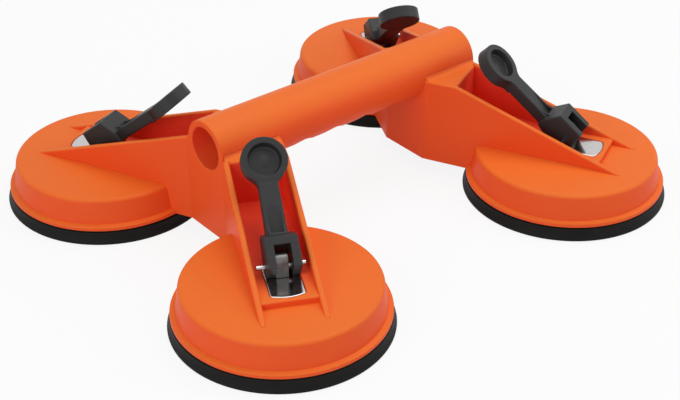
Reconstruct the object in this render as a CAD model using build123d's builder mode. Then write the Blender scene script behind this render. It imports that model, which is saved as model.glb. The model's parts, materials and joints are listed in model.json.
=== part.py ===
"""Hand lifter for sheet goods: a tube handle, four splayed trough arms and four lever-worked suction cups.

Millimetres. X runs along the handle, Z is up and the rubber pads rest on Z = 0.
"""

import os
from math import asin, atan2, cos, pi, radians, sin, sqrt

from build123d import *

os.makedirs("parts", exist_ok=True)

# Where the four cups stand
cup_x = 104.0
cup_y = 82.7
arm_splay = radians(26.0)

# Rubber pad
pad_radius = 59.0
pad_lip_height = 1.8
pad_rim_taper = 1.6
pad_rim_height = 8.4
pad_rim_width = 7.0
pad_seal_width = 6.0
pad_dish_depth = 1.6
pad_edge_round = 0.7

# Cup shell
shell_thickness = 3.0
flange_inset = 1.7
flange_lip_height = 2.0
flange_lip_round = 0.9
flange_ledge = 2.8
flange_ledge_rise = 0.7
shoulder_inset = 4.9
shoulder_height = 25.6
shoulder_round = 2.5
roof_rise = 1.3

# Trough arms
arm_half_width = 17.7
wall_thickness = 3.2
wall_edge_round = 1.1
ledge_height = 60.0
ledge_round = 1.6
ledge_cove = 3.0
trough_end = 63.5
trough_end_floor = 34.0
floor_ramp_start = 24.0
floor_height = 30.0
floor_thickness = 3.0
floor_step = 23.5
floor_step_round = 1.2
wall_fall = 0.34
wall_end_inset = 5.4

# Handle tube and the hub columns under its ends
tube_radius = 16.0
tube_bore_radius = 12.1
tube_axis_height = 60.5
tube_edge_round = 0.8
hub_half_width = 16.4
hub_wall = 3.0
hub_roof = 3.5
groove_pitch = 22.0
groove_count = 4
groove_land = 1.2
groove_depth = 2.2
groove_rise = 8.0

# Steel wear plate
plate_half_width = 9.1
plate_front_length = 18.5
plate_rear_length = 7.0
plate_bow = 2.2
plate_corner_round = 2.0
plate_thickness = 1.2
plate_edge_round = 0.5
plate_seat_gap = 0.35

# Steel tongue and backing plate
tongue_length = 8.4
tongue_width = 6.4
tongue_crown = 7.4
tongue_gap = 0.4
backing_radius = 38.0
backing_thickness = 2.0
backing_height = 5.0
backing_gap = 0.3

# Pivot pin
pin_radius = 1.25
pin_length = 25.9
pin_end_chamfer = 0.3
pin_height = 35.0
pin_shift = 0.05
pin_tongue_fit = 0.02
pin_lever_fit = 0.05

# Cam lever, measured from the pin: along the stem, and up from its axis
lever_lean = radians(39.0)
lever_swing = radians(120.0)
lever_lift = 7.0
lever_clearance = 0.25
lever_shift = 0.85
head_half_width = 8.7
head_heel = 7.0
head_face_end = 12.1
head_face_height = 10.2
head_back = 16.8
head_back_height = 0.6
head_chin = 4.9
head_round = 0.7
nose_steps = 60
slot_half_width = 4.35
slot_depth = 8.0
stem_root_half_width = 5.65
stem_neck_half_width = 5.1
stem_top = 1.2
stem_bottom = 5.6
stem_start = 9.0
stem_edge_round = 0.8
gusset_end = 22.0
gusset_height = 3.2
gusset_sag = 0.4
neck_length = 3.2
neck_round = 5.5
puck_reach = 56.6
puck_drop = 1.45
puck_tilt = radians(5.0)
puck_radius = 12.3
puck_thickness = 7.4
puck_edge_round = 0.5
dimple_radius = 8.8
dimple_depth = 4.2
dimple_draft = 0.8
dimple_round = 0.9
bump_radius = 3.9
bump_height = 0.6
channel_end = 28.0
channel_half_width = 3.5
channel_depth = 1.5

# Sizes that follow from the ones above
flange_radius = pad_radius - flange_inset
shoulder_radius = flange_radius - shoulder_inset
wall_run_out = shoulder_radius - wall_end_inset
wall_centre = arm_half_width - wall_thickness / 2
trough_half_width = arm_half_width - wall_thickness
spine_reach = cup_y / cos(arm_splay)
hub_offset = (cup_y - hub_half_width) * sin(arm_splay)
hub_inner_x = cup_x - (arm_half_width + hub_offset) / cos(arm_splay)
hub_outer_x = cup_x + (arm_half_width - hub_offset) / cos(arm_splay)
hub_roof_height = tube_axis_height - tube_radius - hub_roof
wall_end_height = ledge_height - wall_fall * (wall_run_out + trough_end)
cam_rise = lever_lift / lever_swing
cam_base = pin_height - floor_height - lever_clearance
stem_end = puck_reach - puck_radius
back_slope = (head_back - head_face_end) / (head_face_height - head_back_height)
gusset_start = head_back - (gusset_height - head_back_height) * back_slope
channel_tip = channel_end + channel_half_width
channel_dip = asin(channel_depth / (channel_tip - head_back))
puck_top = puck_thickness / 2
dimple_floor = puck_top - dimple_depth
rim_bulge = puck_edge_round * (1 - sqrt(0.5))

cups = {
    "near_right": (-1, -1),
    "near_left": (-1, 1),
    "far_right": (1, -1),
    "far_left": (1, 1),
}


def cup_plane(side_x, side_y):
    """Ground plane at a cup centre, with x outward along its arm."""
    outward = (side_x * sin(arm_splay), side_y * cos(arm_splay), 0)
    return Plane(origin=(side_x * cup_x, side_y * cup_y, 0), x_dir=outward, z_dir=(0, 0, 1))


def arm_plane(cup, across=0.0):
    """Upright plane along an arm, with x outward and y up."""
    return Plane(origin=cup.from_local_coords((0, across, 0)), x_dir=cup.x_dir, z_dir=-cup.y_dir)


def lever_directions(cup):
    """Unit vectors along the resting stem and up from its top face."""
    along = cup.x_dir * -cos(lever_lean) + cup.z_dir * sin(lever_lean)
    upward = cup.x_dir * sin(lever_lean) + cup.z_dir * cos(lever_lean)
    return along, upward


def head_underside(inward):
    """Point on the flat underside of the lever head, this far from the pin toward the handle."""
    return (
        inward * cos(lever_lean) - cam_base * sin(lever_lean),
        -inward * sin(lever_lean) - cam_base * cos(lever_lean),
    )


def nose_reach():
    """How far the head can stand out ahead of the pin and still swing over the wear plate."""
    flat_turn = pi - lever_lean
    reaches = []
    for step in range(1, nose_steps):
        angle = lever_lean + flat_turn * step / nose_steps
        height = cam_base + cam_rise * (angle - lever_lean)
        reaches.append((height + head_face_height * cos(angle)) / sin(angle))
    return min(reaches)


def wear_plate_outline(margin=0.0):
    """Plate outline, bowed at the front and square behind."""
    width = plate_half_width + margin
    front = plate_front_length + margin
    rear = plate_rear_length + margin
    with BuildSketch() as outline:
        with BuildLine():
            Polyline((front, -width), (-rear, -width), (-rear, width), (front, width))
            ThreePointArc((front, width), (front + plate_bow, 0), (front, -width))
        make_face()
        fillet(outline.vertices().sort_by(Axis.X)[-2:], plate_corner_round + margin)
    return outline.sketch


def make_handle_spine():
    """Handle tube with its two hub columns."""
    with BuildPart() as handle_spine:
        with BuildSketch(Plane.YZ.offset(-hub_outer_x)):
            with Locations((0, tube_axis_height)):
                Circle(tube_radius)
        extrude(amount=2 * hub_outer_x)
        fillet(handle_spine.edges().filter_by(GeomType.CIRCLE), tube_edge_round)
        for end in (-1, 1):
            hub_middle = end * (hub_inner_x + hub_outer_x) / 2
            with BuildSketch(Plane.XY.offset(pad_rim_height)):
                with Locations((hub_middle, 0)):
                    Rectangle(hub_outer_x - hub_inner_x, 2 * hub_half_width)
            extrude(amount=ledge_height - pad_rim_height)
            with BuildSketch(Plane.XY.offset(pad_rim_height)):
                with Locations((hub_middle, 0)):
                    Rectangle(hub_outer_x - hub_inner_x - 2 * hub_wall, 2 * (hub_half_width - hub_wall))
            extrude(amount=hub_roof_height - pad_rim_height, mode=Mode.SUBTRACT)
        groove_axis = tube_axis_height + groove_rise
        groove_top = tube_axis_height - tube_radius + groove_depth
        groove_foot = tube_axis_height - tube_radius - groove_land / 4
        groove_floor = groove_foot - tube_radius / 4
        groove_half = (groove_pitch - groove_land) / 2
        for index in range(groove_count):
            middle = (index - (groove_count - 1) / 2) * groove_pitch
            with BuildSketch(Plane.XZ):
                with BuildLine():
                    ThreePointArc(
                        (middle - groove_half, groove_foot),
                        (middle, groove_top),
                        (middle + groove_half, groove_foot),
                    )
                    Polyline(
                        (middle + groove_half, groove_foot),
                        (middle + groove_half, groove_floor),
                        (middle - groove_half, groove_floor),
                        (middle - groove_half, groove_foot),
                    )
                make_face()
            revolve(axis=Axis((0, 0, groove_axis), (1, 0, 0)), mode=Mode.SUBTRACT)
        with BuildSketch(Plane.YZ.offset(-hub_outer_x)):
            with Locations((0, tube_axis_height)):
                Circle(tube_bore_radius)
        extrude(amount=2 * hub_outer_x, mode=Mode.SUBTRACT)
        bore_rims = handle_spine.edges().filter_by(GeomType.CIRCLE).filter_by(
            lambda edge: abs(edge.radius - tube_bore_radius) < tube_edge_round / 10
        )
        fillet(bore_rims, tube_edge_round)
    return handle_spine


def is_wall_top(cup, edge):
    """True for an edge along the top of one of an arm's walls."""
    middle = cup.to_local_coords(edge.center())
    top = ledge_height - wall_fall * max(0, middle.X + trough_end)
    inside = -spine_reach + wall_edge_round < middle.X < wall_run_out - wall_edge_round
    return inside and abs(middle.Z - top) < wall_edge_round / 10


def shell_outside(cup):
    """Half section of the filled cup shell."""
    lip_top = pad_rim_height + flange_lip_height
    with BuildSketch(arm_plane(cup)) as section:
        with BuildLine():
            Polyline(
                (0, pad_rim_height),
                (flange_radius, pad_rim_height),
                (flange_radius, lip_top),
                (flange_radius - flange_ledge, lip_top + flange_ledge_rise),
                (shoulder_radius, shoulder_height),
                (0, shoulder_height + roof_rise),
                close=True,
            )
        make_face()
        fillet(section.vertices().sort_by_distance((shoulder_radius, shoulder_height))[0], shoulder_round)
        fillet(section.vertices().sort_by_distance((flange_radius, lip_top))[0], flange_lip_round)
    return section.sketch


def make_cup_shell(cup):
    """Round cup shell with a flat bed on its roof, where the wear plate is let in."""
    section = shell_outside(cup)
    cup_axis = Axis(cup.origin, (0, 0, 1))
    roof_height = shoulder_height + roof_rise
    inner_shoulder = (shoulder_radius - shell_thickness, shoulder_height - shell_thickness)
    with BuildPart() as cup_shell:
        add(section)
        revolve(axis=cup_axis)
        with BuildSketch(arm_plane(cup)) as bed:
            with BuildLine():
                Polyline(
                    (-floor_ramp_start, floor_height),
                    (-floor_ramp_start, shoulder_height - shell_thickness),
                    (floor_step, shoulder_height - shell_thickness),
                    (floor_step, floor_height),
                    close=True,
                )
            make_face()
            fillet(bed.vertices().sort_by_distance((floor_step, floor_height))[0], floor_step_round)
        extrude(amount=trough_half_width, both=True)
        with BuildSketch(arm_plane(cup)) as shell_inside:
            with BuildLine():
                Polyline(
                    (0, pad_rim_height),
                    (flange_radius - flange_ledge - shell_thickness, pad_rim_height),
                    inner_shoulder,
                    (0, roof_height - shell_thickness),
                    close=True,
                )
            make_face()
            fillet(shell_inside.vertices().sort_by_distance(inner_shoulder)[0], shoulder_round / 2)
        revolve(axis=cup_axis, mode=Mode.SUBTRACT)
        with BuildSketch(cup.offset(floor_height - plate_thickness)):
            add(wear_plate_outline(plate_seat_gap))
        extrude(amount=2 * plate_thickness, mode=Mode.SUBTRACT)
        with BuildSketch(cup.offset(pad_rim_height)):
            Rectangle(tongue_length + 2 * tongue_gap, tongue_width + 2 * tongue_gap)
        extrude(amount=floor_height - pad_rim_height, mode=Mode.SUBTRACT)
    return cup_shell


def make_ledge_cove(cup):
    """Hollow fillet that runs from the ledge of one arm up the side of the handle tube."""
    hand = -1 if cup.origin.Y < 0 else 1
    lift = ledge_height + ledge_cove - tube_axis_height
    reach = sqrt((tube_radius + ledge_cove) ** 2 - lift**2)
    share = tube_radius / (tube_radius + ledge_cove)
    foot = (hand * reach, ledge_height)
    tip = (hand * reach * share, tube_axis_height + lift * share)
    corner_drop = ledge_height - tube_axis_height
    corner = (hand * sqrt(tube_radius**2 - corner_drop**2), ledge_height)
    slope = atan2(-lift, -reach)
    bisector = (slope - pi / 2) / 2
    hollow = (
        hand * (reach + ledge_cove * cos(bisector)),
        ledge_height + ledge_cove + ledge_cove * sin(bisector),
    )
    swell_angle = (asin(lift / (tube_radius + ledge_cove)) + asin(corner_drop / tube_radius)) / 2
    swell = (hand * tube_radius * cos(swell_angle), tube_axis_height + tube_radius * sin(swell_angle))
    with BuildPart() as cove:
        with BuildSketch(Plane.YZ):
            with BuildLine():
                Line(corner, foot)
                ThreePointArc(foot, hollow, tip)
                ThreePointArc(tip, swell, corner)
            make_face()
        extrude(amount=2 * cup_x, both=True)
        with BuildSketch(cup.offset(ledge_height)):
            with Locations((-spine_reach, 0)):
                Rectangle(2 * (spine_reach - trough_end), 2 * (arm_half_width - wall_edge_round))
        extrude(amount=tube_radius, mode=Mode.INTERSECT)
    return cove


def make_trough_arm(cup):
    """Two arm walls with the sloping floor and the end ledge between them, from the shell to the hub."""
    section = shell_outside(cup)
    inner_ledge = ledge_height - floor_thickness
    cove = make_ledge_cove(cup)
    with BuildPart() as trough_arm:
        for hand in (-1, 1):
            with BuildSketch(arm_plane(cup, hand * wall_centre)):
                with BuildLine():
                    Polyline(
                        (-spine_reach, pad_rim_height),
                        (wall_run_out, pad_rim_height),
                        (wall_run_out, wall_end_height),
                        (-trough_end, ledge_height),
                        (-spine_reach, ledge_height),
                        close=True,
                    )
                make_face()
            extrude(amount=wall_thickness / 2, both=True)
        wall_tops = trough_arm.edges().filter_by(lambda edge: is_wall_top(cup, edge))
        fillet(wall_tops, wall_edge_round)
        with BuildSketch(arm_plane(cup)) as floor_profile:
            with BuildLine():
                Polyline(
                    (-spine_reach, ledge_height),
                    (-trough_end, ledge_height),
                    (-trough_end, trough_end_floor),
                    (-floor_ramp_start, floor_height),
                    (-floor_ramp_start, shoulder_height),
                    (-trough_end - floor_thickness, trough_end_floor - floor_thickness),
                    (-trough_end - floor_thickness, inner_ledge),
                    (-spine_reach, inner_ledge),
                    close=True,
                )
            make_face()
            fillet(floor_profile.vertices().sort_by_distance((-trough_end, ledge_height))[0], ledge_round)
        extrude(amount=wall_centre, both=True)
        add(section)
        revolve(axis=Axis(cup.origin, (0, 0, 1)), mode=Mode.SUBTRACT)
        with BuildSketch(Plane.XY):
            Rectangle(4 * cup_x, 2 * hub_half_width)
        extrude(amount=2 * ledge_height, mode=Mode.SUBTRACT)
        add(cove.part)
    return trough_arm


def make_rubber_pad(cup):
    """Round pad with a flat sealing ring below and a bed for the backing plate above."""
    rim_top_radius = pad_radius - pad_rim_taper
    bed_radius = backing_radius + backing_gap
    bed_height = backing_height - backing_gap
    with BuildPart() as rubber_pad:
        with BuildSketch(arm_plane(cup)) as profile:
            with BuildLine():
                Polyline(
                    (0, pad_dish_depth),
                    (pad_radius - pad_seal_width - pad_dish_depth, pad_dish_depth),
                    (pad_radius - pad_seal_width, 0),
                    (pad_radius, 0),
                    (pad_radius, pad_lip_height),
                    (rim_top_radius, pad_rim_height),
                    (rim_top_radius - pad_rim_width, pad_rim_height),
                    (bed_radius, backing_height + backing_thickness),
                    (bed_radius, bed_height),
                    (0, bed_height),
                    close=True,
                )
            make_face()
            fillet(profile.vertices().sort_by_distance((pad_radius, 0))[0], pad_edge_round)
            fillet(profile.vertices().sort_by_distance((pad_radius, pad_lip_height))[0], pad_edge_round)
        revolve(axis=Axis(cup.origin, (0, 0, 1)))
    return rubber_pad


def make_backing_plate(cup):
    """Steel disc in the middle of the pad."""
    with BuildPart() as backing_plate:
        with BuildSketch(cup.offset(backing_height)):
            Circle(backing_radius)
        extrude(amount=backing_thickness)
    return backing_plate


def make_tongue(cup):
    """Upright steel tongue with a round crown and a cross hole for the pin."""
    foot = backing_height + backing_thickness
    crown_middle = pin_height + tongue_crown - tongue_length / 2
    with BuildPart() as tongue:
        with BuildSketch(arm_plane(cup)):
            with BuildLine():
                Polyline(
                    (-tongue_length / 2, crown_middle),
                    (-tongue_length / 2, foot),
                    (tongue_length / 2, foot),
                    (tongue_length / 2, crown_middle),
                )
                ThreePointArc(
                    (tongue_length / 2, crown_middle),
                    (0, pin_height + tongue_crown),
                    (-tongue_length / 2, crown_middle),
                )
            make_face()
            with Locations((0, pin_height)):
                Circle(pin_radius + pin_tongue_fit, mode=Mode.SUBTRACT)
        extrude(amount=tongue_width / 2, both=True)
    return tongue


def make_wear_plate(cup):
    """Steel plate flush with the trough floor, with a window for the tongue."""
    with BuildPart() as wear_plate:
        with BuildSketch(cup.offset(floor_height - plate_thickness)):
            add(wear_plate_outline())
            Rectangle(tongue_length + 2 * tongue_gap, tongue_width + 2 * tongue_gap, mode=Mode.SUBTRACT)
        extrude(amount=plate_thickness)
        plate_rim = wear_plate.faces().sort_by(Axis.Z)[-1].outer_wire().edges()
        fillet(plate_rim, plate_edge_round)
    return wear_plate


def make_pivot_pin(cup):
    """Plain cross pin, longer on one side of the lever."""
    with BuildPart() as pivot_pin:
        with BuildSketch(arm_plane(cup, pin_shift)):
            with Locations((0, pin_height)):
                Circle(pin_radius)
        extrude(amount=pin_length / 2, both=True)
        chamfer(pivot_pin.edges().filter_by(GeomType.CIRCLE), pin_end_chamfer)
    return pivot_pin


def make_lever_stem(plan):
    """Tapered lever stem with rounded long edges."""
    with BuildPart() as stem:
        with BuildSketch(plan.offset(-stem_bottom)):
            with BuildLine():
                Polyline(
                    (stem_start, -stem_root_half_width),
                    (stem_end, -stem_neck_half_width),
                    (stem_end, stem_neck_half_width),
                    (stem_start, stem_root_half_width),
                    close=True,
                )
            make_face()
        extrude(amount=stem_top + stem_bottom)
        long_edges = stem.edges().filter_by(lambda edge: edge.length > (stem_end - stem_start) / 2)
        fillet(long_edges, stem_edge_round)
    return stem


def make_thumb_puck(puck_plan):
    """Round thumb puck with the neck that joins it to the stem."""
    with BuildPart() as puck:
        with BuildSketch(puck_plan.offset(-puck_top)) as outline:
            Circle(puck_radius)
            with Locations((-(puck_radius + neck_length) / 2, 0)):
                Rectangle(puck_radius + neck_length, 2 * stem_neck_half_width)
            neck_corners = outline.vertices().filter_by_position(Axis.X, -puck_radius, 0)
            fillet(neck_corners, neck_round)
        extrude(amount=puck_thickness)
        rims = puck.faces().filter_by(puck_plan).edges()
        neck_end = Axis(puck_plan.origin, puck_plan.y_dir)
        fillet(rims.filter_by(neck_end, reverse=True), puck_edge_round)
    return puck


def make_cam_lever(cup):
    """Forked cam head, stem and thumb puck in the resting pose."""
    along, upward = lever_directions(cup)
    pivot = cup.from_local_coords((0, lever_shift, pin_height))
    side = Plane(origin=pivot, x_dir=along, z_dir=cup.y_dir)
    plan = Plane(origin=pivot, x_dir=along, z_dir=upward)
    heel = head_underside(head_heel)
    puck_middle = pivot + along * puck_reach - upward * puck_drop
    puck_along = along * cos(puck_tilt) + upward * sin(puck_tilt)
    puck_upward = upward * cos(puck_tilt) - along * sin(puck_tilt)
    puck_plan = Plane(origin=puck_middle, x_dir=puck_along, z_dir=puck_upward)
    puck_side = Plane(origin=puck_middle, x_dir=puck_along, z_dir=cup.y_dir)
    channel_floor = Plane(
        origin=pivot + along * channel_tip + upward * stem_top,
        x_dir=along * cos(channel_dip) + upward * sin(channel_dip),
        z_dir=upward * cos(channel_dip) - along * sin(channel_dip),
    )
    stem = make_lever_stem(plan)
    puck = make_thumb_puck(puck_plan)
    with BuildPart() as cam_lever:
        with BuildSketch(side):
            with BuildLine():
                Polyline(
                    heel,
                    head_underside(-cam_rise),
                    (-nose_reach(), head_face_height),
                    (head_face_end, head_face_height),
                    (head_back, head_back_height),
                    (head_back, -head_chin),
                    close=True,
                )
            make_face()
        extrude(amount=head_half_width, both=True)
        cheek_rims = cam_lever.faces().filter_by(Plane(origin=pivot, z_dir=cup.y_dir)).edges()
        fillet(cheek_rims, head_round)
        with BuildSketch(side):
            with BuildLine():
                Polyline(
                    (gusset_end, stem_top),
                    (gusset_end, -stem_bottom / 2),
                    (stem_start, -stem_bottom / 2),
                    (stem_start, gusset_height),
                    (gusset_start, gusset_height),
                )
                ThreePointArc(
                    (gusset_start, gusset_height),
                    ((gusset_start + gusset_end) / 2, (gusset_height + stem_top) / 2 - gusset_sag),
                    (gusset_end, stem_top),
                )
            make_face()
        extrude(amount=stem_neck_half_width - stem_edge_round, both=True)
        add(stem.part)
        add(puck.part)
        with BuildSketch(puck_side) as dimple:
            with BuildLine():
                ThreePointArc(
                    (0, dimple_floor + bump_height),
                    (bump_radius / 2, dimple_floor + bump_height * 3 / 4),
                    (bump_radius, dimple_floor),
                )
                Polyline(
                    (bump_radius, dimple_floor),
                    (dimple_radius - dimple_draft, dimple_floor),
                    (dimple_radius, puck_top - puck_edge_round),
                )
                ThreePointArc(
                    (dimple_radius, puck_top - puck_edge_round),
                    (dimple_radius + rim_bulge, puck_top - rim_bulge),
                    (dimple_radius + puck_edge_round, puck_top),
                )
                Polyline(
                    (dimple_radius + puck_edge_round, puck_top),
                    (dimple_radius + puck_edge_round, puck_top + dimple_depth),
                    (0, puck_top + dimple_depth),
                    (0, dimple_floor + bump_height),
                )
            make_face()
            dimple_edge = (dimple_radius - dimple_draft, dimple_floor)
            fillet(dimple.vertices().sort_by_distance(dimple_edge)[0], dimple_round)
        revolve(axis=Axis(puck_middle, puck_upward), mode=Mode.SUBTRACT)
        with BuildSketch(channel_floor):
            with Locations(((head_back - channel_tip - channel_half_width) / 2, 0)):
                Rectangle(channel_end - head_back, 2 * channel_half_width)
            with Locations((-channel_half_width, 0)):
                Circle(channel_half_width)
        extrude(amount=head_face_height, mode=Mode.SUBTRACT)
        with BuildSketch(plan.offset(-2 * puck_radius)):
            with Locations((slot_depth - puck_radius, 0)):
                Rectangle(2 * puck_radius, 2 * slot_half_width)
        extrude(amount=4 * puck_radius, mode=Mode.SUBTRACT)
        with BuildSketch(side):
            Circle(pin_radius + pin_lever_fit)
        extrude(amount=2 * head_half_width, both=True, mode=Mode.SUBTRACT)
    return cam_lever


def save(builder, name):
    """Write one piece under its own name."""
    builder.part.label = name
    export_step(builder.part, f"parts/{name}.step")


save(make_handle_spine(), "handle_spine")
for place, sides in cups.items():
    cup = cup_plane(*sides)
    save(make_cup_shell(cup), f"{place}_cup_shell")
    save(make_trough_arm(cup), f"{place}_trough_arm")
    save(make_rubber_pad(cup), f"{place}_rubber_pad")
    save(make_backing_plate(cup), f"{place}_backing_plate")
    save(make_tongue(cup), f"{place}_tongue")
    save(make_wear_plate(cup), f"{place}_wear_plate")
    save(make_pivot_pin(cup), f"{place}_pivot_pin")
    save(make_cam_lever(cup), f"{place}_cam_lever")
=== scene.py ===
"""Looks of a hand lifter with four lever-worked suction cups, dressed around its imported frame."""

import json
import math

import bpy
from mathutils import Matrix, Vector


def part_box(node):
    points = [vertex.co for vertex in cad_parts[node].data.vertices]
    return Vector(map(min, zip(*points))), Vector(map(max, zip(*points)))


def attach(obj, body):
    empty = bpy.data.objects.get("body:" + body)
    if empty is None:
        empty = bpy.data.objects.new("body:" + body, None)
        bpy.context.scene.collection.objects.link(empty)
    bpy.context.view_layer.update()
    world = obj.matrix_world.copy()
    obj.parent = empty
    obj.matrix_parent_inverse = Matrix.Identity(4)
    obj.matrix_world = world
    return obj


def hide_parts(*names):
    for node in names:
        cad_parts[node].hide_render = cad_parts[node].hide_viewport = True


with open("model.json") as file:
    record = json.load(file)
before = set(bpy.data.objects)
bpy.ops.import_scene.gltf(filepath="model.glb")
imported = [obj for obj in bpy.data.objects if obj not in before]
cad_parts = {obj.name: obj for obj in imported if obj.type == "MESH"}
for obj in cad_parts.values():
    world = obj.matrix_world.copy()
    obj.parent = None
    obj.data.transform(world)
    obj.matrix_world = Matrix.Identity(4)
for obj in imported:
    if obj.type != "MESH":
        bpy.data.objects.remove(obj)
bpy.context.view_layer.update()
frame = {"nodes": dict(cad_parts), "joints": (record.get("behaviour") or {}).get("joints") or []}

bl_info = {
    "name": "Suction lifter looks",
    "version": (1, 0, 0),
    "blender": (4, 5, 0),
    "location": "3D View > Sidebar > Lifter",
    "description": "Finishes, rubber pads and a small studio for a lifter with four suction cups",
    "category": "Object",
}

PLACES = ("near_right", "near_left", "far_right", "far_left")
PAD_LOW, PAD_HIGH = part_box("far_left_rubber_pad")
PAD_MIDDLE = (PAD_LOW + PAD_HIGH) / 2

# Hollows of the moulding, in metres: the troughs under the levers, measured along each arm from its
# cup, and the bore of the handle tube. A trough's walls fall by WALL_FALL for each metre along it.
TROUGH_HALF_WIDTH = 0.0145
TROUGH_REACH = 0.0635
TROUGH_TOP = 0.06
TROUGH_FLOOR = 0.0295
TROUGH_STEP = 0.0235
WALL_FALL = 0.34
BORE_RADIUS = 0.0121
BORE_HEIGHT = 0.0605

# Their painted shade, a deeper red painted in for the shade and the red light bounced about inside them:
# full at
# HOLLOW_DEPTH under the walls, faded out over HOLLOW_FADE before the step at the outer end, and weaker in
# the bore by BORE_SHARE
HOLLOW_MARGIN = 0.0003
HOLLOW_DEPTH = 0.002
HOLLOW_FADE = 0.033
BORE_SHARE = 0.6

# Lamps of the studio: diameter and place, in metres, all turned to one spot
LAMPS = {
    "top": (1.0, (0.3, 0.0, 1.2)),
    "left": (0.7, (-1.0, -0.3, 0.5)),
    "right": (0.7, (0.85, -0.7, 0.6)),
}
LAMP_AIM = (0.0, 0.0, 0.03)
WHITE = (1.0, 1.0, 1.0, 1.0)
FLOOR_PAPER = (0.86, 0.86, 0.86, 1.0)
FLOOR_DROP = 0.0002
SENSOR_WIDTH = 36.0

# Half section of a rubber pad: step along the outline, then millimetres out from the axis and up.
# It runs under the pad with its three sealing ribs, round the rim and back over the plate bed.
PAD_STEPS = 64
PAD_DRAWN_RADIUS = 59.0
PAD_DRAWN_HEIGHT = 8.4
PAD_OUTLINE = (
    (0, 0.0, 1.9),
    (6, 14.0, 1.9),
    (8, 16.0, 1.2),
    (10, 18.0, 1.9),
    (14, 28.0, 1.9),
    (16, 30.0, 1.2),
    (18, 32.0, 1.9),
    (21, 42.0, 1.8),
    (23, 44.0, 1.1),
    (25, 46.0, 1.7),
    (28, 51.0, 1.5),
    (30, 52.6, 0.35),
    (31, 53.4, 0.0),
    (34, 57.9, 0.0),
    (35, 58.6, 0.2),
    (36, 58.95, 0.7),
    (37, 59.0, 1.3),
    (38, 58.85, 2.0),
    (39, 58.45, 2.7),
    (41, 58.0, 4.2),
    (43, 57.6, 6.0),
    (44, 57.6, 6.7),
    (45, 57.5, 7.15),
    (46, 57.1, 7.45),
    (47, 56.2, 7.55),
    (48, 56.0, 8.38),
    (52, 51.0, 8.38),
    (53, 50.4, 8.28),
    (57, 39.2, 7.05),
    (58, 38.6, 6.9),
    (59, 38.35, 6.6),
    (60, 38.3, 5.0),
    (61, 38.0, 4.72),
    (64, 0.0, 4.7),
)

# Widest gap closed where a turned pad meets itself, in metres, and the turned lines on its rubber,
# in radians for each metre out from the axis
PAD_SEAM = 0.000005
PAD_LINES = 9000.0


def find_socket(sockets, key):
    """The socket with this place, identifier or name."""
    if isinstance(key, int):
        return sockets[key]
    for wanted in ("identifier", "name"):
        for socket in sockets:
            if getattr(socket, wanted) == key:
                return socket
    raise KeyError(f"no socket {key!r} among {[socket.name for socket in sockets]}")


def join(tree, value, socket):
    """Link a signal to a socket, or set the socket's own value."""
    if isinstance(value, Signal):
        tree.links.new(value.socket, socket)
    else:
        socket.default_value = value


class Signal:
    """One socket of a node tree. Arithmetic on it adds Math nodes."""

    def __init__(self, socket):
        self.socket = socket

    def maths(self, operation, left, right):
        tree = self.socket.id_data
        node = tree.nodes.new("ShaderNodeMath")
        node.operation = operation
        join(tree, left, node.inputs[0])
        join(tree, right, node.inputs[1])
        return Signal(node.outputs[0])

    def __add__(self, other):
        return self.maths("ADD", self, other)

    def __radd__(self, other):
        return self.maths("ADD", other, self)

    def __sub__(self, other):
        return self.maths("SUBTRACT", self, other)

    def __rsub__(self, other):
        return self.maths("SUBTRACT", other, self)

    def __mul__(self, other):
        return self.maths("MULTIPLY", self, other)

    def __rmul__(self, other):
        return self.maths("MULTIPLY", other, self)

    def __pow__(self, other):
        return self.maths("POWER", self, other)


class Board:
    """A node tree being laid out."""

    def __init__(self, tree):
        self.tree = tree

    def node(self, kind, settings=None, sockets=None, output=0):
        """Add a node: its settings first, then the values or links of its sockets."""
        node = self.tree.nodes.new(kind)
        for name, value in (settings or {}).items():
            if name == "stops":
                self.set_stops(node, value)
            elif name == "line":
                self.set_line(node, value)
            else:
                setattr(node, name, value)
        for key, value in (sockets or {}).items():
            join(self.tree, value, find_socket(node.inputs, key))
        return Signal(find_socket(node.outputs, output)) if len(node.outputs) else node

    @staticmethod
    def set_stops(node, stops):
        """Give a colour ramp its stops, as pairs of place and grey."""
        elements = node.color_ramp.elements
        while len(elements) < len(stops):
            elements.new(1.0)
        for element, (place, grey) in zip(elements, stops):
            element.position = place
            element.color = (grey, grey, grey, 1.0)

    @staticmethod
    def set_line(node, points):
        """Give a float curve its straight-sided line."""
        curve = node.mapping.curves[0]
        while len(curve.points) < len(points):
            curve.points.new(0.5, 0.5)
        for handle, (place, height) in zip(curve.points, points):
            handle.location = (place, height)
            handle.handle_type = "VECTOR"
        node.mapping.update()


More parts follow.
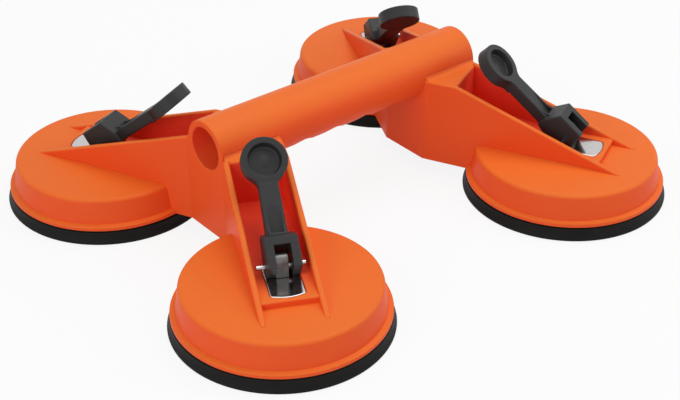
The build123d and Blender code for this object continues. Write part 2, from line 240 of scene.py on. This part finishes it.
class Finish(Board):
    """A material being laid out on one Principled shader."""

    def __init__(self, name):
        self.material = bpy.data.materials.new(name)
        self.material.use_nodes = True
        super().__init__(self.material.node_tree)
        self.tree.nodes.clear()
        self.point = self.node("ShaderNodeTexCoord", output="Object")

    def noise(self, scale, detail=2.0, point=None):
        """Soft noise from 0 to 1, in cells of one over scale metres."""
        sockets = {"Vector": point or self.point, "Scale": scale, "Detail": detail}
        return self.node("ShaderNodeTexNoise", None, sockets, 0)

    def turned(self, angle, stretch, centre=(0.0, 0.0, 0.0)):
        """Object coordinates about a centre, turned about Z and stretched."""
        shifted = self.node(
            "ShaderNodeVectorMath", {"operation": "SUBTRACT"}, {0: self.point, 1: centre}
        )
        settings = {"vector_type": "POINT"}
        sockets = {"Vector": shifted, "Rotation": (0.0, 0.0, -angle), "Scale": stretch}
        return self.node("ShaderNodeMapping", settings, sockets)

    def rounded(self, radius):
        """Normal with rounded edges, and a mask of those edges."""
        soft = self.node("ShaderNodeBevel", {"samples": 6}, {"Radius": radius})
        plain = self.node("ShaderNodeNewGeometry", output="Normal")
        facing = self.node(
            "ShaderNodeVectorMath", {"operation": "DOT_PRODUCT"}, {0: soft, 1: plain}, "Value"
        )
        return soft, self.ramp(1 - facing, ((0.01, 0.0), (0.25, 1.0)))

    def ramp(self, value, stops):
        """A value spread between stops."""
        return self.node("ShaderNodeValToRGB", {"stops": stops}, {"Fac": value})

    def rise(self, value, low, high):
        """A value spread smoothly from 0 at low to 1 at high."""
        settings = {"interpolation_type": "SMOOTHSTEP", "clamp": True}
        sockets = {"Value": value, "From Min": low, "From Max": high}
        return self.node("ShaderNodeMapRange", settings, sockets)

    def apart(self, name, vector=None):
        """One coordinate of a vector, or else of the point."""
        return self.node("ShaderNodeSeparateXYZ", None, {0: vector or self.point}, name)

    def size_of(self, value):
        """A value without its sign."""
        return self.node("ShaderNodeMath", {"operation": "ABSOLUTE"}, {0: value})

    def larger(self, first, second):
        """The larger of two values."""
        return self.node("ShaderNodeMath", {"operation": "MAXIMUM"}, {0: first, 1: second})

    def mixed(self, factor, first, second):
        """Two colours mixed by a factor."""
        sockets = {"Factor_Float": factor}
        for key, colour in (("A_Color", first), ("B_Color", second)):
            sockets[key] = colour if isinstance(colour, Signal) else (*colour, 1.0)
        settings = {"data_type": "RGBA", "clamp_factor": True}
        return self.node("ShaderNodeMix", settings, sockets, "Result_Color")

    def bump(self, height, depth, normal=None):
        """Normal from a height between 0 and 1, raised by a depth in metres."""
        sockets = {"Height": height, "Distance": depth, "Strength": 1.0}
        if normal:
            sockets["Normal"] = normal
        return self.node("ShaderNodeBump", None, sockets, "Normal")

    def surface(self, **sockets):
        """Close the material with its Principled shader."""
        named = {name.replace("_", " "): value for name, value in sockets.items()}
        shader = self.node("ShaderNodeBsdfPrincipled", None, named, "BSDF")
        self.node("ShaderNodeOutputMaterial", None, {"Surface": shader})
        return self.material


def dress(material, *nodes):
    """Give CAD nodes their material."""
    for name in nodes:
        piece = frame["nodes"][name]
        if not piece.material_slots:
            piece.data.materials.append(material)
        for slot in piece.material_slots:
            slot.material = material


def arm_turn(place):
    """Direction of an arm on the ground, from the hinge that crosses it."""
    for joint in frame["joints"]:
        if joint["name"] == f"{place}_lever_hinge":
            across = joint["axis"]
            return math.atan2(-across[0], across[1])
    raise LookupError(f"no lever hinge at {place}")


def middle(node):
    """Middle of a CAD node's box."""
    low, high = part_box(node)
    return (low + high) / 2


class LifterPads(bpy.types.PropertyGroup):
    """Sizes of the rubber pads."""

    radius: bpy.props.FloatProperty(
        name="Pad radius", description="Outside radius of a rubber pad",
        default=(PAD_HIGH.x - PAD_LOW.x) / 2, min=0.01, unit="LENGTH",
    )
    height: bpy.props.FloatProperty(
        name="Rim height", description="Height of the rubber rim under the cup shell",
        default=PAD_HIGH.z, min=0.002, unit="LENGTH",
    )
    spread_along: bpy.props.FloatProperty(
        name="Spread along", description="Distance between pad middles along the handle",
        default=2 * PAD_MIDDLE.x, min=0.05, unit="LENGTH",
    )
    spread_across: bpy.props.FloatProperty(
        name="Spread across", description="Distance between pad middles across the handle",
        default=2 * PAD_MIDDLE.y, min=0.05, unit="LENGTH",
    )
    steps_around: bpy.props.IntProperty(
        name="Steps around", description="Faces around a pad", default=160, min=24, max=320,
    )


class LifterColours(bpy.types.PropertyGroup):
    """Colours of the finishes."""

    # Painted top light: the lighter, yellower orange given to faces turned up.
    orange: bpy.props.FloatVectorProperty(
        name="Orange", description="Moulded frame where it faces up", subtype="COLOR", size=3,
        min=0.0, max=1.0, default=(0.9, 0.178, 0.025),
    )
    # Painted side shade: the darker, redder orange given to the sides.
    painted_side_shade_orange: bpy.props.FloatVectorProperty(
        name="Deep orange", description="Moulded frame on its sides", subtype="COLOR",
        size=3, min=0.0, max=1.0, default=(0.89, 0.1, 0.02),
    )
    # Rubbed edges and painted edge highlight: a paler orange on the rounded edges.
    rubbed_and_highlit_orange: bpy.props.FloatVectorProperty(
        name="Pale orange", description="Rubbed edges of the moulding", subtype="COLOR",
        size=3, min=0.0, max=1.0, default=(0.93, 0.2, 0.038),
    )
    # Painted shade: a deeper red painted inside the troughs and the bore for the shade and red bounced
    # light there.
    painted_shade_red: bpy.props.FloatVectorProperty(
        name="Hollow red", description="Deeper colour inside the troughs and the bore", subtype="COLOR",
        size=3, min=0.0, max=1.0, default=(0.98, 0.07, 0.034),
    )
    grey: bpy.props.FloatVectorProperty(
        name="Lever grey", description="Moulded levers", subtype="COLOR", size=3, min=0.0, max=1.0,
        default=(0.019, 0.019, 0.0195),
    )
    pale_grey: bpy.props.FloatVectorProperty(
        name="Rubbed grey", description="Rubbed edges of the levers", subtype="COLOR", size=3,
        min=0.0, max=1.0, default=(0.05, 0.05, 0.051),
    )
    rubber: bpy.props.FloatVectorProperty(
        name="Rubber", description="Pads", subtype="COLOR", size=3, min=0.0, max=1.0,
        default=(0.0035, 0.0032, 0.003),
    )
    dusty_rubber: bpy.props.FloatVectorProperty(
        name="Dusty rubber", description="Bloom on the pads", subtype="COLOR", size=3,
        min=0.0, max=1.0, default=(0.0075, 0.007, 0.0065),
    )
    bright_steel: bpy.props.FloatVectorProperty(
        name="Bright steel", description="Wear plates and pins", subtype="COLOR", size=3,
        min=0.0, max=1.0, default=(0.58, 0.56, 0.56),
    )
    plain_steel: bpy.props.FloatVectorProperty(
        name="Plain steel", description="Tongues and backing plates", subtype="COLOR", size=3,
        min=0.0, max=1.0, default=(0.17, 0.163, 0.158),
    )


class LifterStage(bpy.types.PropertyGroup):
    """Camera, floor and light."""

    azimuth: bpy.props.FloatProperty(
        name="Camera azimuth", description="Turn of the camera round the lifter",
        default=math.radians(-39.27), subtype="ANGLE",
    )
    elevation: bpy.props.FloatProperty(
        name="Camera elevation", description="Height of the camera over the ground",
        default=math.radians(32.32), subtype="ANGLE",
    )
    distance: bpy.props.FloatProperty(
        name="Camera distance", description="From the camera to the point it looks at",
        default=0.7972, min=0.1, unit="LENGTH",
    )
    aim: bpy.props.FloatVectorProperty(
        name="Aim", description="Point the camera looks at", size=3, subtype="XYZ", unit="LENGTH",
        default=(-0.0373, -0.048, 0.03),
    )
    focal_length: bpy.props.FloatProperty(
        name="Focal length", description="Lens of the camera, in millimetres", default=77.69,
        min=10.0, subtype="DISTANCE_CAMERA",
    )
    top_power: bpy.props.FloatProperty(
        name="Top light", description="Power of the large lamp overhead", default=6.3,
        min=0.0, subtype="POWER",
    )
    left_power: bpy.props.FloatProperty(
        name="Left light", description="Power of the lamp on the left of the camera", default=3.4,
        min=0.0, subtype="POWER",
    )
    right_power: bpy.props.FloatProperty(
        name="Right light", description="Power of the lamp on the right of the camera", default=2.8,
        min=0.0, subtype="POWER",
    )
    sky: bpy.props.FloatProperty(
        name="Sky", description="Strength of the light from all round", default=0.38, min=0.0,
    )
    floor_size: bpy.props.FloatProperty(
        name="Floor size", description="Side of the floor", default=6.0, min=1.0, unit="LENGTH",
    )
    floor_lift: bpy.props.FloatProperty(
        name="Floor lift", description="Share of plain white in the floor that the camera sees",
        default=0.88, min=0.0, max=1.0, subtype="FACTOR",
    )


class LIFTER_OT_frame_moulding(bpy.types.Operator):
    """Give the handle, the trough arms and the cup shells their moulded orange plastic, with painted top
    light, side shade and edge highlights, and painted shade in the troughs and the bore
    """

    bl_idname = "lifter.frame_moulding"
    bl_label = "Dress frame moulding"

    @staticmethod
    def painted_hollow_shade_mask(finish):
        """Mask of the painted shade in the troughs and the bore, the same for all four arms: a deeper red
        painted in for their shade and red bounced light.
        """
        splay = math.pi / 2 - arm_turn("far_left")
        beside = finish.size_of(finish.apart("X")) - PAD_MIDDLE.x
        beyond = finish.size_of(finish.apart("Y")) - PAD_MIDDLE.y
        height = finish.apart("Z")
        along = math.sin(splay) * beside + math.cos(splay) * beyond
        across = finish.size_of(math.cos(splay) * beside - math.sin(splay) * beyond)
        depth = TROUGH_TOP - WALL_FALL * (along + TROUGH_REACH) - height
        between = 1 - finish.rise(across, TROUGH_HALF_WIDTH, TROUGH_HALF_WIDTH + HOLLOW_MARGIN)
        ahead = finish.rise(along, -TROUGH_REACH - HOLLOW_MARGIN, -TROUGH_REACH)
        behind = 1 - finish.rise(along, TROUGH_STEP - HOLLOW_FADE, TROUGH_STEP)
        above = finish.rise(height, TROUGH_FLOOR - HOLLOW_MARGIN, TROUGH_FLOOR)
        trough = between * ahead * behind * above * finish.rise(depth, HOLLOW_MARGIN, HOLLOW_DEPTH)
        rise = height - BORE_HEIGHT
        level = finish.apart("Y")
        reach = (level * level + rise * rise) ** 0.5
        bore = 1 - finish.rise(reach, BORE_RADIUS, BORE_RADIUS + HOLLOW_MARGIN)
        return finish.larger(trough, BORE_SHARE * bore)

    def execute(self, context):
        colours = context.scene.lifter_colours
        finish = Finish("orange_moulding")
        drift = finish.noise(16.0, 3.0)
        cloud = finish.noise(75.0, 3.0)
        speck = finish.noise(700.0, 2.0)
        grain = finish.noise(4200.0, 1.0)
        soft, edge = finish.rounded(0.0003)
        streaks = finish.ramp(0.65 * drift + 0.35 * cloud, ((0.35, 0.0), (0.65, 1.0)))
        # Painted light: faces turned up get the lighter, yellower orange and the sides the darker, redder
        # one, as if lit from above; the streaks add a little random tone.
        facing = finish.node("ShaderNodeNewGeometry", output="Normal")
        painted_top_light = finish.rise(finish.apart("Z", facing), 0.1, 0.9)
        colour = finish.mixed(
            0.14 * streaks + 0.86 * painted_top_light, tuple(colours.painted_side_shade_orange), tuple(colours.orange)
        )
        # Rubbed edges and painted edge highlight: the rounded edges, flecked by fine speck, go paler.
        colour = finish.mixed(0.55 * edge * speck, colour, tuple(colours.rubbed_and_highlit_orange))
        # Painted shade: the troughs and the bore turn a deeper red, deepest under the walls, for shade and
        # red bounced light.
        colour = finish.mixed(0.9 * self.painted_hollow_shade_mask(finish), colour, tuple(colours.painted_shade_red))
        height = 0.5 * cloud + 0.3 * speck + 0.2 * grain
        material = finish.surface(
            Base_Color=colour,
            Roughness=0.4 + 0.1 * drift + 0.06 * speck,
            Normal=finish.bump(height, 0.00012, soft),
            IOR=1.5,
            Specular_IOR_Level=0.15,
        )
        dress(material, "handle_spine")
        for place in PLACES:
            dress(material, f"{place}_trough_arm", f"{place}_cup_shell")
        return {"FINISHED"}


class LIFTER_OT_cam_levers(bpy.types.Operator):
    """Give the cam levers their dark grey moulded plastic"""

    bl_idname = "lifter.cam_levers"
    bl_label = "Dress cam levers"

    def execute(self, context):
        colours = context.scene.lifter_colours
        finish = Finish("grey_moulding")
        cloud = finish.noise(110.0, 3.0)
        speck = finish.noise(1400.0, 2.0)
        grain = finish.noise(5200.0, 1.0)
        soft, edge = finish.rounded(0.0007)
        rubbed = 0.6 * edge + 0.22 * cloud * speck
        material = finish.surface(
            Base_Color=finish.mixed(rubbed, tuple(colours.grey), tuple(colours.pale_grey)),
            Roughness=0.4 + 0.12 * cloud - 0.08 * edge,
            Normal=finish.bump(0.4 * cloud + 0.35 * speck + 0.25 * grain, 0.00012, soft),
            IOR=1.5,
            Specular_IOR_Level=0.3,
        )
        dress(material, *[f"{place}_cam_lever" for place in PLACES])
        return {"FINISHED"}


class LIFTER_OT_wear_plates(bpy.types.Operator):
    """Give the wear plates their polished steel, rubbed along each arm"""

    bl_idname = "lifter.wear_plates"
    bl_label = "Dress wear plates"

    def execute(self, context):
        colours = context.scene.lifter_colours
        steel = tuple(colours.bright_steel)
        worn = tuple(0.82 * channel for channel in steel)
        for place in PLACES:
            node = f"{place}_wear_plate"
            finish = Finish(f"polished_steel_{place}")
            along = finish.turned(arm_turn(place), (60.0, 2600.0, 900.0), middle(node))
            scratch = finish.noise(1.0, 2.0, along)
            smear = finish.noise(160.0, 2.0)
            soft, edge = finish.rounded(0.0004)
            rubbed = finish.ramp(scratch, ((0.52, 0.0), (0.7, 1.0)))
            material = finish.surface(
                Base_Color=finish.mixed(0.5 * rubbed + 0.3 * smear, steel, worn),
                Metallic=1.0,
                Roughness=0.1 + 0.08 * smear + 0.1 * rubbed,
                Normal=finish.bump(scratch + 0.2 * edge, 0.000006, soft),
            )
            dress(material, node)
        return {"FINISHED"}


class LIFTER_OT_tongues(bpy.types.Operator):
    """Give the tongues and backing plates their plain steel"""

    bl_idname = "lifter.tongues"
    bl_label = "Dress tongues and backing plates"

    def execute(self, context):
        colours = context.scene.lifter_colours
        steel = tuple(colours.plain_steel)
        dull = tuple(0.6 * channel for channel in steel)
        finish = Finish("plain_steel")
        upright = finish.turned(0.0, (1600.0, 1600.0, 120.0))
        drawn = finish.noise(1.0, 3.0, upright)
        blotch = finish.noise(240.0, 3.0)
        soft, edge = finish.rounded(0.0005)
        stain = finish.ramp(blotch, ((0.4, 0.0), (0.7, 1.0)))
        material = finish.surface(
            Base_Color=finish.mixed(stain - 0.5 * edge, steel, dull),
            Metallic=1.0,
            Roughness=0.28 + 0.14 * drawn + 0.08 * blotch,
            Normal=finish.bump(0.7 * drawn + 0.3 * blotch, 0.00003, soft),
        )
        for place in PLACES:
            dress(material, f"{place}_tongue", f"{place}_backing_plate")
        return {"FINISHED"}


class LIFTER_OT_pivot_pins(bpy.types.Operator):
    """Give the pivot pins their bright drawn steel"""

    bl_idname = "lifter.pivot_pins"
    bl_label = "Dress pivot pins"

    def execute(self, context):
        steel = tuple(context.scene.lifter_colours.bright_steel)
        shaded = tuple(0.75 * channel for channel in steel)
        for place in PLACES:
            node = f"{place}_pivot_pin"
            finish = Finish(f"drawn_steel_{place}")
            along = finish.turned(arm_turn(place), (2400.0, 90.0, 2400.0), middle(node))
            drawn = finish.noise(1.0, 2.0, along)
            smear = finish.noise(400.0, 2.0)
            material = finish.surface(
                Base_Color=finish.mixed(smear, steel, shaded),
                Metallic=1.0,
                Roughness=0.14 + 0.12 * drawn,
                Normal=finish.bump(drawn, 0.000008),
            )
            dress(material, node)
        return {"FINISHED"}


class LIFTER_OT_rubber_pads(bpy.types.Operator):
    """Turn the four rubber pads with their sealing ribs, and set them under the cup shells"""

    bl_idname = "lifter.rubber_pads"
    bl_label = "Make rubber pads"

    @staticmethod
    def rubber(colours):
        """Matt black rubber with fine turned lines and a little bloom."""
        finish = Finish("pad_rubber")
        ring = finish.node("ShaderNodeAttribute", {"attribute_name": "ring"}, output="Fac")
        bloom = finish.noise(60.0, 4.0)
        speck = finish.noise(1500.0, 2.0)
        lines = finish.node("ShaderNodeMath", {"operation": "SINE"}, {0: PAD_LINES * ring})
        dust = finish.ramp(0.7 * bloom + 0.3 * speck, ((0.42, 0.0), (0.68, 1.0)))
        return finish.surface(
            Base_Color=finish.mixed(dust, tuple(colours.rubber), tuple(colours.dusty_rubber)),
            Roughness=0.5 + 0.14 * bloom + 0.08 * speck,
            Normal=finish.bump(0.25 * lines + 0.5 * speck + 0.4 * bloom, 0.00006),
            IOR=1.48,
            Specular_IOR_Level=0.17,
        )

    @staticmethod
    def tree(material):
        """Node tree that turns one pad and sets it at the four cups, with its inputs by name."""
        tree = bpy.data.node_groups.new("turned_pads", "GeometryNodeTree")
        kinds = {
            "Pad radius": "NodeSocketFloat",
            "Rim height": "NodeSocketFloat",
            "Steps around": "NodeSocketInt",
            "Spread along": "NodeSocketFloat",
            "Spread across": "NodeSocketFloat",
        }
        tree.interface.new_socket("Geometry", in_out="INPUT", socket_type="NodeSocketGeometry")
        inputs = {}
        for name, kind in kinds.items():
            socket = tree.interface.new_socket(name, in_out="INPUT", socket_type=kind)
            inputs[name] = socket.identifier
        tree.interface.new_socket("Geometry", in_out="OUTPUT", socket_type="NodeSocketGeometry")
        board = Board(tree)
        given = tree.nodes.new("NodeGroupInput")
        size = {name: Signal(find_socket(given.outputs, key)) for name, key in inputs.items()}
        sheet = tree.nodes.new("GeometryNodeMeshGrid")
        join(tree, size["Steps around"] + 1, sheet.inputs["Vertices X"])
        sheet.inputs["Size X"].default_value = 1.0
        sheet.inputs["Size Y"].default_value = 1.0
        sheet.inputs["Vertices Y"].default_value = PAD_STEPS + 1
        flat = Signal(sheet.outputs["UV Map"])
        turn = board.node("ShaderNodeSeparateXYZ", None, {0: flat}, "X") * (2 * math.pi)
        step = board.node("ShaderNodeSeparateXYZ", None, {0: flat}, "Y")
        out_line = [(k / PAD_STEPS, out / PAD_DRAWN_RADIUS) for k, out, up in PAD_OUTLINE]
        up_line = [(k / PAD_STEPS, up / PAD_DRAWN_HEIGHT) for k, out, up in PAD_OUTLINE]
        out = board.node("ShaderNodeFloatCurve", {"line": out_line}, {"Value": step})
        up = board.node("ShaderNodeFloatCurve", {"line": up_line}, {"Value": step})
        radius = out * size["Pad radius"]
        cosine = board.node("ShaderNodeMath", {"operation": "COSINE"}, {0: turn})
        sine = board.node("ShaderNodeMath", {"operation": "SINE"}, {0: turn})
        sockets = {"X": radius * cosine, "Y": radius * sine, "Z": up * size["Rim height"]}
        place = board.node("ShaderNodeCombineXYZ", None, sockets)
        marked = board.node(
            "GeometryNodeStoreNamedAttribute",
            {"data_type": "FLOAT", "domain": "POINT"},
            {"Geometry": Signal(sheet.outputs["Mesh"]), "Name": "ring", "Value": radius},
        )
        turned = board.node(
            "GeometryNodeSetPosition", None, {"Geometry": marked, "Position": place}
        )
        sewn = board.node(
            "GeometryNodeMergeByDistance", None, {"Geometry": turned, "Distance": PAD_SEAM}
        )
        smooth = board.node(
            "GeometryNodeSetShadeSmooth", None, {"Geometry": sewn, "Shade Smooth": True}
        )
        cups = {
            "Size X": size["Spread along"],
            "Size Y": size["Spread across"],
            "Vertices X": 2,
            "Vertices Y": 2,
        }
        corners = board.node("GeometryNodeMeshGrid", None, cups, "Mesh")
        four = board.node(
            "GeometryNodeInstanceOnPoints", None, {"Points": corners, "Instance": smooth}
        )
        real = board.node("GeometryNodeRealizeInstances", None, {"Geometry": four})
        painted = board.node(
            "GeometryNodeSetMaterial", None, {"Geometry": real, "Material": material}
        )
        board.node("NodeGroupOutput", None, {"Geometry": painted})
        return tree, inputs

    def execute(self, context):
        sizes = context.scene.lifter_pads
        material = self.rubber(context.scene.lifter_colours)
        tree, inputs = self.tree(material)
        seed = bpy.data.objects.new("pad_seed", bpy.data.meshes.new("pad_seed"))
        context.scene.collection.objects.link(seed)
        modifier = seed.modifiers.new("turned_pads", "NODES")
        modifier.node_group = tree
        modifier[inputs["Pad radius"]] = sizes.radius
        modifier[inputs["Rim height"]] = sizes.height
        modifier[inputs["Steps around"]] = sizes.steps_around
        modifier[inputs["Spread along"]] = sizes.spread_along
        modifier[inputs["Spread across"]] = sizes.spread_across
        evaluated = seed.evaluated_get(context.evaluated_depsgraph_get())
        mesh = bpy.data.meshes.new_from_object(evaluated)
        bpy.data.objects.remove(seed)
        if not mesh.polygons:
            raise RuntimeError("the rubber pads came out empty")
        pads = bpy.data.objects.new("rubber_pads", mesh)
        context.scene.collection.objects.link(pads)
        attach(pads, "frame")
        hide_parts(*[f"{place}_rubber_pad" for place in PLACES])
        return {"FINISHED"}


class LIFTER_OT_stage(bpy.types.Operator):
    """Set up the pale floor, the soft light and the camera"""

    bl_idname = "lifter.stage"
    bl_label = "Set stage"

    @staticmethod
    def seen(board):
        """One for rays that show the surroundings: straight, mirrored or through glass."""
        total = 0.0
        for name in ("Is Camera Ray", "Is Glossy Ray", "Is Transmission Ray"):
            total = board.node("ShaderNodeLightPath", output=name) + total
        return total

    def make_floor(self, context, stage):
        half = stage.floor_size / 2
        sides = ((-half, -half), (half, -half), (half, half), (-half, half))
        corners = [(x, y, -FLOOR_DROP) for x, y in sides]
        mesh = bpy.data.meshes.new("floor")
        mesh.from_pydata(corners, [], [(0, 1, 2, 3)])
        floor = bpy.data.objects.new("floor", mesh)
        context.scene.collection.objects.link(floor)
        finish = Finish("pale_floor")
        paper = {"Base Color": FLOOR_PAPER, "Roughness": 0.9}
        shaded = finish.node("ShaderNodeBsdfPrincipled", None, paper, "BSDF")
        white = finish.node("ShaderNodeEmission", None, {"Color": WHITE, "Strength": 1.0})
        factor = stage.floor_lift * self.seen(finish)
        mixed = finish.node("ShaderNodeMixShader", None, {0: factor, 1: shaded, 2: white})
        finish.node("ShaderNodeOutputMaterial", None, {"Surface": mixed})
        mesh.materials.append(finish.material)

    def make_world(self, context, stage):
        world = bpy.data.worlds.new("studio")
        world.use_nodes = True
        world.node_tree.nodes.clear()
        context.scene.world = world
        board = Board(world.node_tree)
        glow = board.node("ShaderNodeBackground", None, {"Color": WHITE, "Strength": stage.sky})
        white = board.node("ShaderNodeBackground", None, {"Color": WHITE, "Strength": 1.0})
        mixed = board.node("ShaderNodeMixShader", None, {0: self.seen(board), 1: glow, 2: white})
        board.node("ShaderNodeOutputWorld", None, {"Surface": mixed})

    @staticmethod
    def make_lamp(context, name, power, size, spot):
        lamp = bpy.data.lights.new(name, "AREA")
        lamp.energy = power
        lamp.shape = "DISK"
        lamp.size = size
        holder = bpy.data.objects.new(name, lamp)
        holder.location = spot
        facing = Vector(LAMP_AIM) - Vector(spot)
        holder.rotation_euler = facing.to_track_quat("-Z", "Y").to_euler()
        context.scene.collection.objects.link(holder)

    def execute(self, context):
        stage = context.scene.lifter_stage
        self.make_floor(context, stage)
        self.make_world(context, stage)
        powers = {"top": stage.top_power, "left": stage.left_power, "right": stage.right_power}
        for name, (size, spot) in LAMPS.items():
            self.make_lamp(context, name, powers[name], size, spot)
        back = Vector(
            (
                math.sin(stage.azimuth) * math.cos(stage.elevation),
                -math.cos(stage.azimuth) * math.cos(stage.elevation),
                math.sin(stage.elevation),
            )
        )
        lens = bpy.data.cameras.new("camera")
        lens.sensor_width = SENSOR_WIDTH
        lens.sensor_fit = "HORIZONTAL"
        lens.lens = stage.focal_length
        lens.clip_start = 0.01
        camera = bpy.data.objects.new("camera", lens)
        camera.location = Vector(stage.aim) + back * stage.distance
        camera.rotation_euler = (-back).to_track_quat("-Z", "Y").to_euler()
        context.scene.collection.objects.link(camera)
        context.scene.camera = camera
        context.scene.view_settings.view_transform = "Standard"
        return {"FINISHED"}


STEPS = (
    LIFTER_OT_frame_moulding,
    LIFTER_OT_rubber_pads,
    LIFTER_OT_wear_plates,
    LIFTER_OT_tongues,
    LIFTER_OT_pivot_pins,
    LIFTER_OT_cam_levers,
    LIFTER_OT_stage,
)


class LIFTER_PT_looks(bpy.types.Panel):
    """Sizes, colours and steps of the lifter's looks"""

    bl_idname = "LIFTER_PT_looks"
    bl_label = "Lifter looks"
    bl_space_type = "VIEW_3D"
    bl_region_type = "UI"
    bl_category = "Lifter"

    def draw(self, context):
        layout = self.layout
        for group in (context.scene.lifter_pads, context.scene.lifter_colours, context.scene.lifter_stage):
            column = layout.column(align=True)
            for name in group.__annotations__:
                column.prop(group, name)
        for step in STEPS:
            layout.operator(step.bl_idname)


GROUPS = {
    "lifter_pads": LifterPads,
    "lifter_colours": LifterColours,
    "lifter_stage": LifterStage,
}


def register():
    for kind in (*GROUPS.values(), *STEPS, LIFTER_PT_looks):
        bpy.utils.register_class(kind)
    for name, group in GROUPS.items():
        setattr(bpy.types.Scene, name, bpy.props.PointerProperty(type=group))


def unregister():
    for name in GROUPS:
        delattr(bpy.types.Scene, name)
    for kind in (LIFTER_PT_looks, *reversed(STEPS), *reversed(GROUPS.values())):
        bpy.utils.unregister_class(kind)


def main():
    register()
    bpy.ops.lifter.frame_moulding()
    bpy.ops.lifter.rubber_pads()
    bpy.ops.lifter.wear_plates()
    bpy.ops.lifter.tongues()
    bpy.ops.lifter.pivot_pins()
    bpy.ops.lifter.cam_levers()
    bpy.ops.lifter.stage()


if __name__ == "__main__":
    main()
